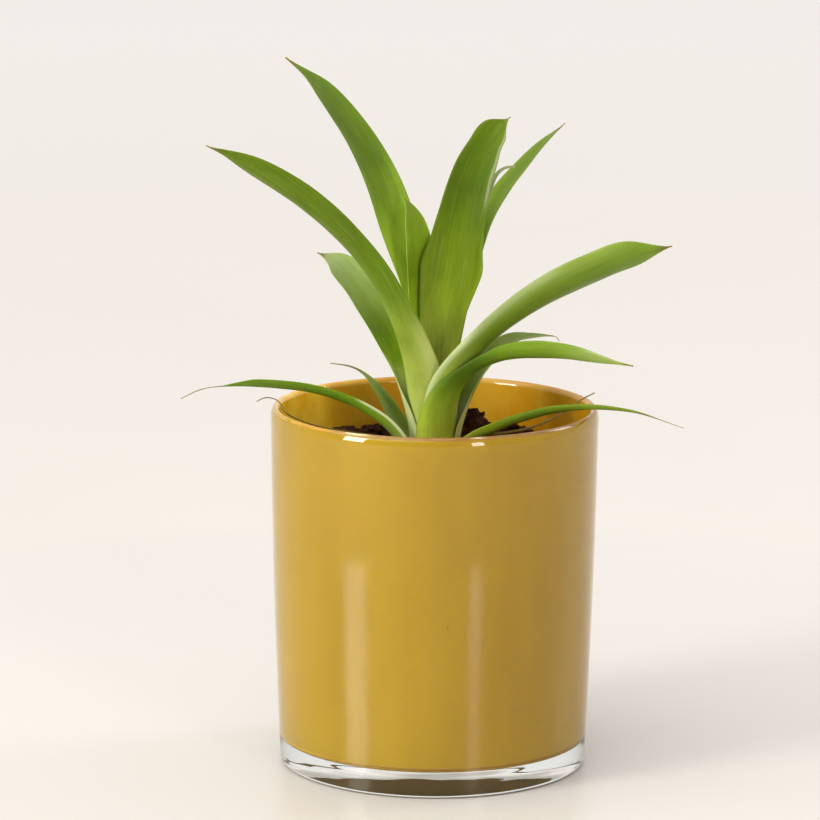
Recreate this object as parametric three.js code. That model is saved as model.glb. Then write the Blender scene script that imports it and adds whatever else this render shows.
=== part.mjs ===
// A young guzmania growing in a cased-glass pot.
// Millimetres, +Z up. The origin is the centre of the pot's flat underside, and the plant's front is -Y.
import * as THREE from 'three';

const degree = Math.PI / 180;

// Driving sizes of the pot: two fused layers of glass, clear outside and mustard yellow inside.
const potHeight = 149.3;
const rimRadius = 67.5;
const footRadius = 63.4;
const sideSwell = 0.7;
const clearWall = 1.5;
const colourWall = 2;
const layerGap = 0.3;
const rimOuterRound = 4.6;
const rimInnerRound = 2.2;
const clearBase = 10.2;
const colourFloor = 3;
const potSides = 56;

// Driving sizes of the growing medium and of the plain hole that the plant stands in.
const wallLevel = 128;
const moundLevel = 130;
const moundRadius = 34;
const holeRadius = 13.4;
const holeFloor = 102;
const soilSides = 64;

// Driving sizes of the plant. Its leaves sit in layers round the stem, the youngest innermost.
const plantX = -1;
const plantY = 0;
const innerSheath = 4.4;
const layerStep = 1.05;
const bladeThickness = 0.65;
const midribThickness = 0.1;

const pottedPlant = new THREE.Group();

function addPiece(name, geometry, colour, roughness, opacity = 1) {
  const material = new THREE.MeshStandardMaterial({ color: colour, roughness, metalness: 0 });
  material.transparent = opacity < 1;
  material.opacity = opacity;
  const mesh = new THREE.Mesh(geometry, material);
  mesh.name = name;
  pottedPlant.add(mesh);
  return mesh;
}

// Outer radius of the pot at a height: a slight taper with a faint swell.
function wallRadius(z) {
  const part = z / potHeight;
  return footRadius + (rimRadius - footRadius) * part + sideSwell * Math.sin(Math.PI * part);
}

// The rim is one round over both layers, longer outside than inside. This is its height at a depth inwards
// from the outer face.
function rimHeight(depth) {
  const half = (clearWall + layerGap + colourWall) / 2;
  const round = depth < half ? rimOuterRound : rimInnerRound;
  return potHeight - round + round * Math.sqrt(Math.max(1 - (depth / half - 1) ** 2, 0));
}

function turned(profile, sides) {
  const points = profile.map(([radius, z]) => new THREE.Vector2(radius, z));
  return new THREE.LatheGeometry(points, sides).rotateX(Math.PI / 2);
}

// A quarter round between two directions, as points of a turned profile.
function quarterRound(centreRadius, centreZ, radius, fromAngle, toAngle, steps) {
  const points = [];
  for (let step = 0; step <= steps; step += 1) {
    const angle = (fromAngle + (toAngle - fromAngle) * step / steps) * degree;
    points.push([centreRadius + radius * Math.cos(angle), centreZ + radius * Math.sin(angle)]);
  }
  return points;
}

// A line of wall points between two heights, at a depth inwards from the outer face.
function wallLine(fromZ, toZ, depth, steps) {
  const points = [];
  for (let step = 0; step <= steps; step += 1) {
    const z = fromZ + (toZ - fromZ) * step / steps;
    points.push([wallRadius(z) - depth, z]);
  }
  return points;
}

// Rim points between two depths, at the given parts of the way.
function rimPoints(fromDepth, toDepth, parts) {
  return parts.map((part) => {
    const depth = fromDepth + (toDepth - fromDepth) * part;
    return [rimRadius - depth, rimHeight(depth)];
  });
}

// The clear casing, with the thick solid base that the pot stands on.
const footRound = 1.6;
const cornerRound = 2.4;
const outerTop = potHeight - rimOuterRound - 1;
const innerTop = potHeight - rimInnerRound - 1;
const casingProfile = [
  [0, 0],
  ...quarterRound(footRadius - footRound, footRound, footRound, -90, 0, 3),
  ...wallLine(12, outerTop, 0, 5),
  ...rimPoints(0, clearWall, [0, 0.06, 0.22, 0.5, 1]),
  ...wallLine(innerTop, 24, clearWall, 5),
  ...quarterRound(wallRadius(14) - clearWall - cornerRound, clearBase + cornerRound, cornerRound, 0, -90, 3),
  [0, clearBase],
];
addPiece('pot_clear_glass', turned(casingProfile, potSides), 0xe9eeea, 0.05, 0.35);

// The mustard layer, a cup that lines the casing from its floor to the rim.
const cupDepth = clearWall + layerGap;
const cupFloor = clearBase + layerGap;
const cupInside = cupDepth + colourWall;
const cupProfile = [
  [0, cupFloor],
  ...quarterRound(wallRadius(14) - cupDepth - cornerRound, cupFloor + cornerRound, cornerRound, -90, 0, 3),
  ...wallLine(24, innerTop, cupDepth, 5),
  ...rimPoints(cupDepth, cupInside, [0, 0.4, 0.7, 0.92, 1]),
  ...wallLine(innerTop, 26, cupInside, 5),
  ...quarterRound(wallRadius(18) - cupInside - 4, cupFloor + colourFloor + 4, 4, 0, -90, 3),
  [0, cupFloor + colourFloor],
];
addPiece('pot_colour_layer', turned(cupProfile, potSides), 0xc89a2e, 0.25);

// Closed solid through rings of points, from a single first point to a single last point.
function ringSolid(rings) {
  const positions = [];
  const starts = [];
  for (const ring of rings) {
    starts.push(positions.length / 3);
    for (const point of ring) positions.push(...point);
  }
  const faces = [];
  for (let row = 0; row + 1 < rings.length; row += 1) {
    const lower = rings[row].length;
    const upper = rings[row + 1].length;
    const sides = Math.max(lower, upper);
    for (let side = 0; side < sides; side += 1) {
      const next = (side + 1) % sides;
      const a = starts[row] + (lower > 1 ? side : 0);
      const b = starts[row] + (lower > 1 ? next : 0);
      const c = starts[row + 1] + (upper > 1 ? next : 0);
      const d = starts[row + 1] + (upper > 1 ? side : 0);
      if (lower > 1) faces.push(a, b, c);
      if (upper > 1) faces.push(a, c, d);
    }
  }
  const geometry = new THREE.BufferGeometry();
  geometry.setAttribute('position', new THREE.Float32BufferAttribute(positions, 3));
  geometry.setIndex(faces);
  geometry.computeVertexNormals();
  return geometry;
}

function circle(radius, height, sides, x = 0, y = 0) {
  const points = [];
  for (let side = 0; side < sides; side += 1) {
    const angle = 2 * Math.PI * side / sides;
    const px = x + radius * Math.cos(angle);
    const py = y + radius * Math.sin(angle);
    points.push([px, py, typeof height === 'function' ? height(px, py) : height]);
  }
  return points;
}

// Seeded random numbers between 0 and 1.
function seededRandom(seed) {
  let state = seed;
  return () => {
    state = (state * 1664525 + 1013904223) % 4294967296;
    return state / 4294967296;
  };
}

// The growing medium: loose bark and peat, mounded at the plant, with lumps and one tall piece of bark
// that stands up behind the stem on the right.
const random = seededRandom(73);
const lumps = [];
for (let count = 0; count < 120; count += 1) {
  const away = 19 + 42 * Math.sqrt(random());
  const angle = 2 * Math.PI * random();
  lumps.push({
    x: plantX + away * Math.cos(angle),
    y: plantY + away * Math.sin(angle),
    radius: 2.8 + 3.2 * random(),
    rise: 0.8 + 2.2 * random(),
  });
}
lumps.push({ x: 16, y: 17, radius: 6.5, rise: 14 });
lumps.push({ x: 23, y: 20, radius: 5, rise: 7 });
lumps.push({ x: -28, y: 32, radius: 6, rise: 5 });
lumps.push({ x: -36, y: 36, radius: 5, rise: 4 });
lumps.push({ x: 34, y: 38, radius: 5, rise: 4 });

function soilHeight(x, y) {
  const away = Math.hypot(x - plantX, y - plantY);
  const slope = Math.exp(-((away / moundRadius) ** 2));
  const behind = 2 * slope * Math.max(y, 0) / (away + 1);
  const height = wallLevel + (moundLevel - wallLevel) * slope + behind;
  let rise = 0;
  for (const lump of lumps) {
    const part = Math.hypot(x - lump.x, y - lump.y) / lump.radius;
    if (part < 1) rise = Math.max(rise, lump.rise * (1 - part ** 2.5));
  }
  return height + rise;
}

const soilFloor = cupFloor + colourFloor + layerGap;
const soilGap = cupInside + layerGap;
const soilWall = wallRadius(wallLevel) - soilGap;
const soilRings = [[[plantX, plantY, holeFloor]]];
soilRings.push(circle(holeRadius, holeFloor, soilSides, plantX, plantY));
for (let ring = 0; ring <= 16; ring += 1) {
  const part = ring / 16;
  const radius = holeRadius + (soilWall - holeRadius) * part;
  const shift = 1 - part;
  soilRings.push(circle(radius, soilHeight, soilSides, plantX * shift, plantY * shift));
}
soilRings.push(circle(wallRadius(70) - soilGap, 70, soilSides));
soilRings.push(circle(wallRadius(26) - soilGap, 26, soilSides));
soilRings.push(circle(wallRadius(18) - soilGap - 4, soilFloor, soilSides));
soilRings.push([[0, 0, soilFloor]]);
addPiece('soil', ringSolid(soilRings.reverse()), 0x35191a, 0.95);

// The short woody stem in the hole, which carries the leaves.
const stemRadius = 3.1;
const stemTop = 131;
const stemRings = [
  [[plantX, plantY, stemTop]],
  circle(stemRadius * 0.6, stemTop - 1.5, 16, plantX, plantY),
  circle(stemRadius, stemTop - 6, 16, plantX, plantY),
  circle(stemRadius, holeFloor + 6, 16, plantX, plantY),
  circle(stemRadius * 0.7, holeFloor + layerGap, 16, plantX, plantY),
  [[plantX, plantY, holeFloor + layerGap]],
];
addPiece('stem', ringSolid(stemRings.reverse()), 0x8a8a4a, 0.8);

// A smooth run through values that are spaced evenly from the foot of a leaf (0) to its tip (1).
function along(values, part) {
  const last = values.length - 1;
  const place = Math.min(Math.max(part, 0), 1) * last;
  const index = Math.min(Math.floor(place), last - 1);
  const t = place - index;
  const a = values[Math.max(index - 1, 0)];
  const b = values[index];
  const c = values[index + 1];
  const d = values[Math.min(index + 2, last)];
  const bend = 2 * a - 5 * b + 4 * c - d;
  return b + 0.5 * t * (c - a + t * (bend + t * (3 * (b - c) + d - a)));
}

function smooth(from, to, value) {
  const part = Math.min(Math.max((value - from) / (to - from), 0), 1);
  return part * part * (3 - 2 * part);
}

// One leaf: a closed blade that wraps the stem at its foot, as a sheath, and opens into a channelled blade.
// faces: where the back of the sheath looks, in degrees from +X towards +Y
// layer: its place outwards from the stem, foot: the height that it starts at
// path: points of the midrib from above the foot to the tip, from the plant's axis and the ground
// half: half of its width across the curve, fold: half of the angle that its channel spans, in degrees
// turn: twist in degrees, skew: how far the blade is wider on its left side than on its right
// sheath: the parts of its length where the sheath starts to open and where it is all blade
function leafGeometry(leaf) {
  const { faces, layer, foot, path, half, fold, turn, skew, sheath, stations, strips } = leaf;
  const axis = new THREE.Vector3(plantX, plantY, 0);
  const out = new THREE.Vector3(Math.cos(faces * degree), Math.sin(faces * degree), 0);
  const start = axis.clone().addScaledVector(out, innerSheath + layer * layerStep);
  start.z = foot;
  const knots = path.map(([x, y, z]) => new THREE.Vector3(x, y, z).add(axis));
  const midrib = new THREE.CatmullRomCurve3([start, ...knots], false, 'centripetal');
  midrib.arcLengthDivisions = 600;
  const back = out.clone();
  const side = new THREE.Vector3();
  const outer = [];
  const inner = [];
  for (let station = 0; station <= stations; station += 1) {
    const part = station / stations;
    const point = midrib.getPointAt(part);
    const tangent = midrib.getTangentAt(part);
    back.addScaledVector(tangent, -back.dot(tangent)).normalize();
    side.crossVectors(tangent, back);
    const twist = along(turn, part) * degree;
    const turnedBack = back.clone().multiplyScalar(Math.cos(twist)).addScaledVector(side, Math.sin(twist));
    const turnedSide = new THREE.Vector3().crossVectors(tangent, turnedBack);
    const halfWidth = Math.max(along(half, part), 0.33);
    const away = Math.hypot(point.x - plantX, point.y - plantY);
    const open = smooth(sheath[0], sheath[1], part);
    const bladeCurve = along(fold, part) * degree / halfWidth;
    const radius = Math.max(1 / ((1 - open) / away + open * bladeCurve), 1.1);
    for (let strip = 0; strip <= strips; strip += 1) {
      const across = 2 * strip / strips - 1;
      const angle = (across * halfWidth - along(skew, part)) / radius;
      const thickness = bladeThickness + midribThickness * (1 - across ** 2) * (1 - part);
      for (const [grid, depth] of [[outer, 0], [inner, thickness]]) {
        const vertex = point.clone();
        vertex.addScaledVector(turnedSide, (radius - depth) * Math.sin(angle));
        vertex.addScaledVector(turnedBack, (radius - depth) * Math.cos(angle) - radius);
        grid.push(vertex);
      }
    }
  }
  return bladeSolid(outer, inner, stations, strips);
}

// Closed solid between two like grids of points, both split into triangles the same way.
function bladeSolid(outer, inner, stations, strips) {
  const count = outer.length;
  const row = strips + 1;
  const faces = [];
  for (let station = 0; station < stations; station += 1) {
    for (let strip = 0; strip < strips; strip += 1) {
      const a = station * row + strip;
      const b = a + 1;
      const c = b + row;
      const d = a + row;
      faces.push(a, b, c, a, c, d);
      faces.push(count + a, count + c, count + b, count + a, count + d, count + c);
    }
    const left = station * row;
    const right = left + strips;
    faces.push(left, left + row, count + left + row, left, count + left + row, count + left);
    faces.push(right, count + right, count + right + row, right, count + right + row, right + row);
  }
  for (let strip = 0; strip < strips; strip += 1) {
    const tip = stations * row + strip;
    faces.push(strip, count + strip, count + strip + 1, strip, count + strip + 1, strip + 1);
    faces.push(tip, count + tip + 1, count + tip, tip, tip + 1, count + tip + 1);
  }
  const positions = [];
  for (const vertex of [...outer, ...inner]) positions.push(vertex.x, vertex.y, vertex.z);
  const geometry = new THREE.BufferGeometry();
  geometry.setAttribute('position', new THREE.Float32BufferAttribute(positions, 3));
  geometry.setIndex(faces);
  geometry.computeVertexNormals();
  return geometry;
}

// The leaves, from the youngest in the middle to the oldest low ones.
const straight = [0, 0];
const leaves = [
  {
    name: 'leaf_centre', colour: 0x5c8a1e, faces: 80, layer: 0, foot: 124,
    path: [
      [1.5, 4.8, 150], [3, 5.5, 168], [5, 8.5, 190], [8.7, 13, 210], [13, 18.5, 229], [18.2, 23.5, 246],
      [24.2, 27, 259.6], [31, 29, 265.8],
    ],
    half: [
      6.5, 6.7, 7, 7.5, 8, 8.5, 9, 9.6, 10.4, 11.6, 13.2, 14.2, 12.5, 11.4, 10.5, 9.9, 9.3, 8.7,
      7.4, 6.3, 0.5,
    ],
    fold: [80, 60, 45, 38, 35, 30], turn: straight,
    skew: [0, 0, 0, 0, 0, 0.8, 0.5, -0.2, -0.7, 0.3, 1],
    sheath: [0.15, 0.4], stations: 22, strips: 8,
  },
  {
    name: 'leaf_inner_left', colour: 0x557f1f, faces: 140, layer: 1, foot: 124,
    path: [
      [-4.2, 4.2, 150], [-5, 6.5, 172], [-6.5, 9, 190], [-7.3, 10.5, 205],
      [-8, 11.5, 217], [-9.8, 12.3, 228], [-12.8, 12.8, 235],
    ],
    half: [5.5, 6, 6.6, 7.5, 8.5, 9, 9.5, 9.5, 9, 6.5, 0.4],
    fold: [70, 60, 50, 40, 35, 25], turn: straight, skew: straight,
    sheath: [0.15, 0.4], stations: 18, strips: 6,
  },
  {
    name: 'leaf_inner_small', colour: 0x8c9a78, faces: 36, layer: 1, foot: 124,
    path: [
      [5.8, 4.1, 150], [7.7, 7, 172], [10, 12.8, 192], [14, 18.5, 210], [18.6, 22.5, 225],
      [22.8, 24.5, 235.5], [25.6, 26, 241.5], [28.8, 26.6, 244.3], [33.5, 26.4, 245.2],
    ],
    half: [1.8, 2, 2.4, 3, 3.2, 3, 2.8, 2.6, 2.2, 1.2, 0.6],
    fold: [60, 50, 45, 40, 40, 20], turn: [0, 0, 0, 10, 35, 75], skew: straight,
    sheath: [0.2, 0.45], stations: 18, strips: 4,
  },
  {
    name: 'leaf_back_right', colour: 0x6d9a35, faces: 30, layer: 3, foot: 122,
    path: [
      [6.8, 4.9, 148], [9.2, 8.2, 170], [13.5, 13, 192], [18, 18, 210], [23, 23.5, 224], [30, 29, 235],
      [36.7, 34, 243.2], [45.2, 39, 252.9], [54.5, 43, 261],
    ],
    half: [8.5, 8, 7, 6.5, 6.4, 6.6, 6.8, 6.6, 5.6, 3.6, 0.4],
    fold: [75, 60, 50, 45, 40, 20], turn: [0, 5, 10, 10, 10, 10], skew: straight,
    sheath: [0.15, 0.4], stations: 20, strips: 6,
  },
  {
    name: 'leaf_upper_left', colour: 0x5f9130, faces: 130, layer: 2, foot: 122,
    path: [
      [-4.9, 5.8, 150], [-6, 10, 175], [-8.5, 14.5, 196], [-14.2, 17.5, 215], [-21.5, 19.5, 237.2],
      [-28.1, 21, 250.8], [-37.5, 23, 265.4], [-49.4, 25, 280], [-61.5, 26, 289.6],
    ],
    half: [
      7.5, 7.8, 8, 8.2, 8.5, 8.7, 8.8, 9.2, 9.6, 9.8, 9.9, 9.7, 9.3, 8.8, 8.2, 7.6, 6.9, 6.1, 4.7,
      2, 0.5,
    ],
    fold: [80, 70, 55, 45, 40, 15], turn: [0, 0, -5, -15, -8, 0], skew: straight,
    sheath: [0.15, 0.4], stations: 22, strips: 8,
  },
  {
    name: 'leaf_left_long', colour: 0x5a8c28, faces: 232, layer: 3, foot: 120,
    path: [
      [-5.2, -6.7, 140], [-6.8, -8.2, 155], [-9.2, -10, 169], [-15.5, -14.5, 188.5],
      [-25.2, -20.5, 208.1], [-37.3, -27, 224], [-51.1, -34, 237.5], [-68, -42, 250.5],
      [-80, -46.5, 258.3], [-90, -50, 263],
    ],
    half: [8.5, 9.3, 11.5, 10.2, 9.2, 8.5, 8.2, 8.4, 8, 6.2, 0.5],
    fold: [80, 75, 60, 45, 40, 15], turn: [0, 0, -4, 2, 8, 6],
    skew: [0, -0.5, -1.8, -0.8, 0, 0, 0, 0, 0, 0, 0],
    sheath: [0.05, 0.3], stations: 22, strips: 8,
  },
  {
    name: 'leaf_right_long', colour: 0x65a030, faces: -60, layer: 4, foot: 119,
    path: [
      [4.9, -8.6, 142], [7.1, -10.7, 157], [13, -13.3, 168], [23, -17, 180.2], [35, -21.5, 191.4],
      [49, -26.5, 201.6], [65, -31.5, 210.6], [80, -36.5, 218], [95, -41, 222.8],
    ],
    half: [9.5, 10, 10, 9.5, 8.8, 8.8, 9, 9.3, 9, 8, 0.5],
    fold: [80, 65, 50, 45, 40, 15], turn: [0, 0, 12, -2, -8, -6], skew: straight,
    sheath: [0.15, 0.4], stations: 22, strips: 8,
  },
  {
    name: 'leaf_left_short', colour: 0x6f9352, faces: 150, layer: 4, foot: 118,
    path: [
      [-8.6, 5, 142], [-11, 6.4, 156], [-14.7, 8.5, 167], [-19.5, 11.5, 178], [-25.5, 14.5, 190],
      [-32, 17.5, 199], [-39, 20.5, 206], [-48, 23, 209],
    ],
    half: [9.5, 10, 11, 10.6, 9.6, 9.5, 9.6, 10.1, 9.2, 6.7, 0.4],
    fold: [75, 65, 55, 50, 45, 20], turn: [0, 0, -15, -30, -35, -35],
    skew: [-0.5, -1.2, -2, -1.6, -0.2, 0, -0.3, -0.9, -1.6, -2, 0],
    sheath: [0.2, 0.45], stations: 20, strips: 8,
  },
  {
    name: 'leaf_right_low', colour: 0x55902a, faces: -60, layer: 5, foot: 116,
    path: [
      [5.4, -9.8, 140], [7.2, -12.7, 152], [9.6, -14.7, 160.3], [14, -16.2, 165.6], [18, -16.9, 168.9],
      [22.8, -17.6, 171.5], [28.5, -18.4, 173.8], [40, -20.5, 175.7], [54, -23.5, 175.6],
      [68, -26.5, 173.8], [81, -29, 171.8],
    ],
    half: [
      10.5, 10.7, 10.9, 11, 10.9, 9.4, 7.7, 6.4, 4.8, 3.9, 3.6, 4.3, 4.9, 5.1, 5.1, 4.8, 4.3, 3.5,
      2.3, 1, 0.4,
    ],
    fold: [75, 65, 50, 45, 40, 20], turn: [0, 0, -10, -15, -15, -15],
    skew: [0.4, 1.2, 2.4, 3.1, 0.3, 0, 0, 0, 0, 0, 0],
    sheath: [0.2, 0.45], stations: 20, strips: 8,
  },
  {
    name: 'leaf_right_behind', colour: 0x64905a, faces: 18, layer: 6, foot: 116,
    path: [
      [10.8, 3.2, 138], [13.2, 4.2, 149], [18.2, 7.8, 159.6], [25.5, 12.8, 168.2], [33.5, 18, 173.2],
      [41.5, 22, 174.2], [47.5, 25, 174.2], [51.3, 27, 173.4], [52.6, 28, 171.6],
    ],
    half: [6, 6.4, 8.6, 9.8, 9, 8, 7.5, 6.4, 5, 2.3, 0.35],
    fold: [50, 50, 50, 45, 40, 20], turn: [0, 5, 15, 20, 20, 20],
    skew: [0.3, 0.3, 1.5, 2, 1.5, 0.5, 0, 0, 0, 0, 0],
    sheath: [0.2, 0.45], stations: 18, strips: 6,
  },
  {
    name: 'leaf_left_small', colour: 0x3f6a4a, faces: 140, layer: 5, foot: 114,
    path: [
      [-8.9, 6.7, 126], [-13.4, 8.2, 136], [-17.2, 8.8, 143], [-20.2, 9.4, 149], [-25, 11.4, 156.4],
      [-29.2, 14.4, 160.1], [-34.5, 17, 162.3], [-42.5, 20, 163],
    ],
    half: [4.5, 5, 5.8, 6.2, 6, 5, 3.6, 2.1, 1, 0.6, 0.35],
    fold: [60, 60, 55, 50, 40, 20], turn: straight, skew: straight,
    sheath: [0.15, 0.45], stations: 16, strips: 4,
  },
  {
    name: 'leaf_low_left', colour: 0x4f8a30, faces: 206, layer: 6, foot: 112,
    path: [
      [-10.4, -4.4, 124], [-12.6, -4.8, 132.3], [-19.4, -5.6, 141.2], [-28.8, -7, 148.2],
      [-40.2, -9, 153.6], [-52, -10, 156.8], [-65, -10, 158.2], [-78, -9.5, 158.7],
      [-86.5, -9.2, 158.4], [-92, -9, 157.7], [-96.5, -8.6, 156.3], [-103, -8, 153],
    ],
    half: [
      5.4, 5.6, 6, 6.3, 6.4, 6.2, 5.9, 5.6, 5.4, 5.2, 5.2, 5.2, 5.2, 5.2, 5.1, 4.7, 2.8, 0.9, 0.6,
      0.5, 0.35,
    ],
    fold: [60, 65, 70, 70, 60, 30], turn: straight, skew: straight,
    sheath: [0.1, 0.3], stations: 20, strips: 6,
  },
  {
    name: 'leaf_low_right', colour: 0x4a8a2e, faces: -30, layer: 7, foot: 110,
    path: [
      [10.8, -5.2, 122], [11.4, -5.3, 130.6], [17.4, -5.4, 135.7], [25.7, -6.5, 139.7],
      [32.8, -8, 143.1], [41.4, -11, 146.6], [50, -14, 149.4], [60, -17, 151.3], [71, -20, 152],
      [84, -23, 151], [102, -27, 146],
    ],
    half: [6, 5.6, 5.2, 5, 4.6, 4.2, 3.6, 2.9, 1.9, 0.9, 0.35],
    fold: [50, 70, 85, 80, 65, 30], turn: straight, skew: straight,
    sheath: [0.1, 0.3], stations: 20, strips: 6,
  },
  {
    name: 'leaf_dry_left', colour: 0x5a4a2a, faces: 222, layer: 7, foot: 110,
    path: [
      [-9.1, -7.9, 122], [-10.5, -9.1, 131], [-18.5, -11.4, 137], [-32, -13, 140], [-46, -15, 143],
      [-54, -16.5, 146], [-58, -17, 148], [-60.8, -17, 150.2], [-61.8, -17, 152.8], [-64.5, -17.5, 155],
      [-68, -18, 155.5], [-71.5, -18.5, 154],
    ],
    half: [3.2, 2.4, 1.8, 1.2, 1, 0.8, 0.6, 0.5, 0.45, 0.4, 0.35],
    fold: [50, 50, 40, 30, 20, 20], turn: straight, skew: straight,
    sheath: [0.1, 0.3], stations: 18, strips: 4,
  },
  {
    name: 'leaf_dry_right', colour: 0x5a4a2a, faces: 35, layer: 7, foot: 112,
    path: [
      [9.6, 7, 124], [10.4, 7.4, 131], [15, 7, 134.5], [30, 5.6, 136.8], [40, 5.4, 139], [48, 5.5, 142.2],
      [56, 5.7, 147], [61.5, 6, 151], [67, 6, 154],
    ],
    half: [3, 2.4, 1.8, 1.2, 1, 0.8, 0.7, 0.6, 0.5, 0.4, 0.35],
    fold: [50, 50, 40, 30, 20, 20], turn: straight, skew: straight,
    sheath: [0.1, 0.3], stations: 16, strips: 4,
  },
];

for (const leaf of leaves) {
  addPiece(leaf.name, leafGeometry(leaf), leaf.colour, 0.4);
}

export default pottedPlant;
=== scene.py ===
import math
import random

import bpy
from mathutils import Matrix, Vector, noise


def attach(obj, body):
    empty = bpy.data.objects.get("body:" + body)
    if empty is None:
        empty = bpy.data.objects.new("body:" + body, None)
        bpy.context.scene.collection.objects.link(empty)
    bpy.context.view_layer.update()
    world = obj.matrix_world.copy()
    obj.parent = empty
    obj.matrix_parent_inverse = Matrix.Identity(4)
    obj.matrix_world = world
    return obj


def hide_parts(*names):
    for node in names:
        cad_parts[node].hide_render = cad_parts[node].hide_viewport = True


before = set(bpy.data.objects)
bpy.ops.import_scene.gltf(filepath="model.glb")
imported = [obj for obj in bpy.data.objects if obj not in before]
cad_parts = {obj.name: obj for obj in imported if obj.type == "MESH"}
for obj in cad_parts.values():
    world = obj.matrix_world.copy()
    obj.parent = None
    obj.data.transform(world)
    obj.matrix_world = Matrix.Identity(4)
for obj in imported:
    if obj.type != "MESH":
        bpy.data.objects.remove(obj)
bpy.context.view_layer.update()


# Camera: a long lens 1.7 m in front of the pot, looking down at it by eleven degrees, as in the
# photograph. Its focal length, in the picture's pixels, was fitted to the pot's rim and foot.
SENSOR_WIDTH = 36
PICTURE_PIXELS = 820
FOCAL_PIXELS = 4200
CAMERA_PLACE = (0, -1.695, 0.484)
LOOK_DOWN = 0.196
LOOK_LEFT = 0.006
TILT = 0.006
camera = bpy.data.objects.new("camera", bpy.data.cameras.new("camera"))
bpy.context.collection.objects.link(camera)
bpy.context.scene.camera = camera
camera.data.sensor_width = SENSOR_WIDTH
camera.data.lens = FOCAL_PIXELS * SENSOR_WIDTH / PICTURE_PIXELS
camera.data.clip_end = 30
looking = Matrix.Rotation(LOOK_LEFT, 3, "Z") @ Matrix.Rotation(-LOOK_DOWN, 3, "X")
looking = looking @ Matrix.Rotation(-TILT, 3, "Y")
level = Matrix.Rotation(math.radians(90), 3, "X")
camera.matrix_world = Matrix.Translation(CAMERA_PLACE) @ (looking @ level).to_4x4()


# Floor: a plain pale sheet that the pot stands on. It has a satin sheen near the pot, where it mirrors
# the windows into the lower half of the glass, and is matt further out.
class Socket:
    """A node's output, so that shader maths can be written with Python's own operators."""

    def __init__(self, finish, output):
        self.finish = finish
        self.output = output

    def math(self, operation, *values):
        sockets = dict(enumerate(values))
        return self.finish.node("Math", {"operation": operation}, sockets)

    def __add__(self, other):
        return self.math("ADD", self, other)

    def __radd__(self, other):
        return self.math("ADD", other, self)

    def __sub__(self, other):
        return self.math("SUBTRACT", self, other)

    def __rsub__(self, other):
        return self.math("SUBTRACT", other, self)

    def __mul__(self, other):
        return self.math("MULTIPLY", self, other)

    def __rmul__(self, other):
        return self.math("MULTIPLY", other, self)

    def size(self):
        """The value without its sign."""
        return self.math("ABSOLUTE", self)

    def step(self, low, high):
        """0 below low, 1 above high, and a soft ramp between them."""
        values = {"Value": self, "From Min": low, "From Max": high}
        return self.finish.node("MapRange", {"interpolation_type": "SMOOTHSTEP"}, values)


class Finish:
    """A material, or the room's light, put together from shader nodes."""

    def __init__(self, name, owner=None):
        self.owner = owner or bpy.data.materials.new(name)
        self.owner.use_nodes = True
        self.nodes = self.owner.node_tree.nodes
        self.links = self.owner.node_tree.links
        self.nodes.clear()

    def node(self, kind, settings=None, sockets=None, output=0):
        """Adds a node, sets its settings and then its sockets, and gives one of its outputs."""
        made = self.nodes.new("ShaderNode" + kind)
        for name, value in (settings or {}).items():
            if name == "stops":
                self.set_stops(made.color_ramp.elements, value)
            else:
                setattr(made, name, value)
        for name, value in (sockets or {}).items():
            if isinstance(value, Socket):
                self.links.new(value.output, made.inputs[name])
            else:
                made.inputs[name].default_value = value
        return Socket(self, made.outputs[output]) if made.outputs else None

    def set_stops(self, elements, stops):
        while len(elements) < len(stops):
            elements.new(0.5)
        for element, (place, colour) in zip(elements, stops):
            element.position = place
            element.color = (*colour, 1)

    def mix(self, factor, first, second):
        """The first colour where factor is 0 and the second where it is 1."""
        pair = [value if isinstance(value, Socket) else (*value, 1) for value in (first, second)]
        return self.node("Mix", {"data_type": "RGBA"}, {0: factor, 6: pair[0], 7: pair[1]}, 2)

    def noise(self, place, scale, detail=3, roughness=0.5):
        sockets = {"Vector": place, "Scale": scale, "Detail": detail, "Roughness": roughness}
        return self.node("TexNoise", None, sockets)

    def axis(self, place, index):
        """The x (0), y (1) or z (2) of a vector."""
        return self.node("SeparateXYZ", None, {0: place}, index)

    def stretch(self, place, factors):
        return self.node("VectorMath", {"operation": "MULTIPLY"}, {0: place, 1: factors})

    def position(self):
        return self.node("TexCoord", output=3)

    def bump(self, height, strength, distance):
        return self.node("Bump", None, {"Height": height, "Strength": strength, "Distance": distance})

    def surface(self, **sockets):
        """Closes the material with a Principled shader. In a socket's name, _ stands for a space."""
        named = {name.replace("_", " "): value for name, value in sockets.items()}
        shader = self.node("BsdfPrincipled", None, named)
        self.node("OutputMaterial", None, {"Surface": shader})
        return self.owner


MM = 0.001
reach = 9
under = -0.1 * MM
floor_mesh = bpy.data.meshes.new("floor")
corners = [(-reach, -reach, under), (reach, -reach, under), (reach, reach, under), (-reach, reach, under)]
floor_mesh.from_pydata(corners, [], [(0, 1, 2, 3)])
floor = bpy.data.objects.new("floor", floor_mesh)
bpy.context.collection.objects.link(floor)
paint = Finish("pale floor")
spot = paint.position()
away = paint.node("VectorMath", {"operation": "LENGTH"}, {0: spot}, 1)
near = paint.mix(paint.noise(spot, 3), (0.665, 0.62, 0.58), (0.70, 0.655, 0.615))
floor_mesh.materials.append(
    paint.surface(
        Base_Color=paint.mix(away.step(0.2, 3), near, (0.80, 0.77, 0.745)),
        Roughness=0.32 + 0.5 * away.step(0.38, 0.46),
    )
)


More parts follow.
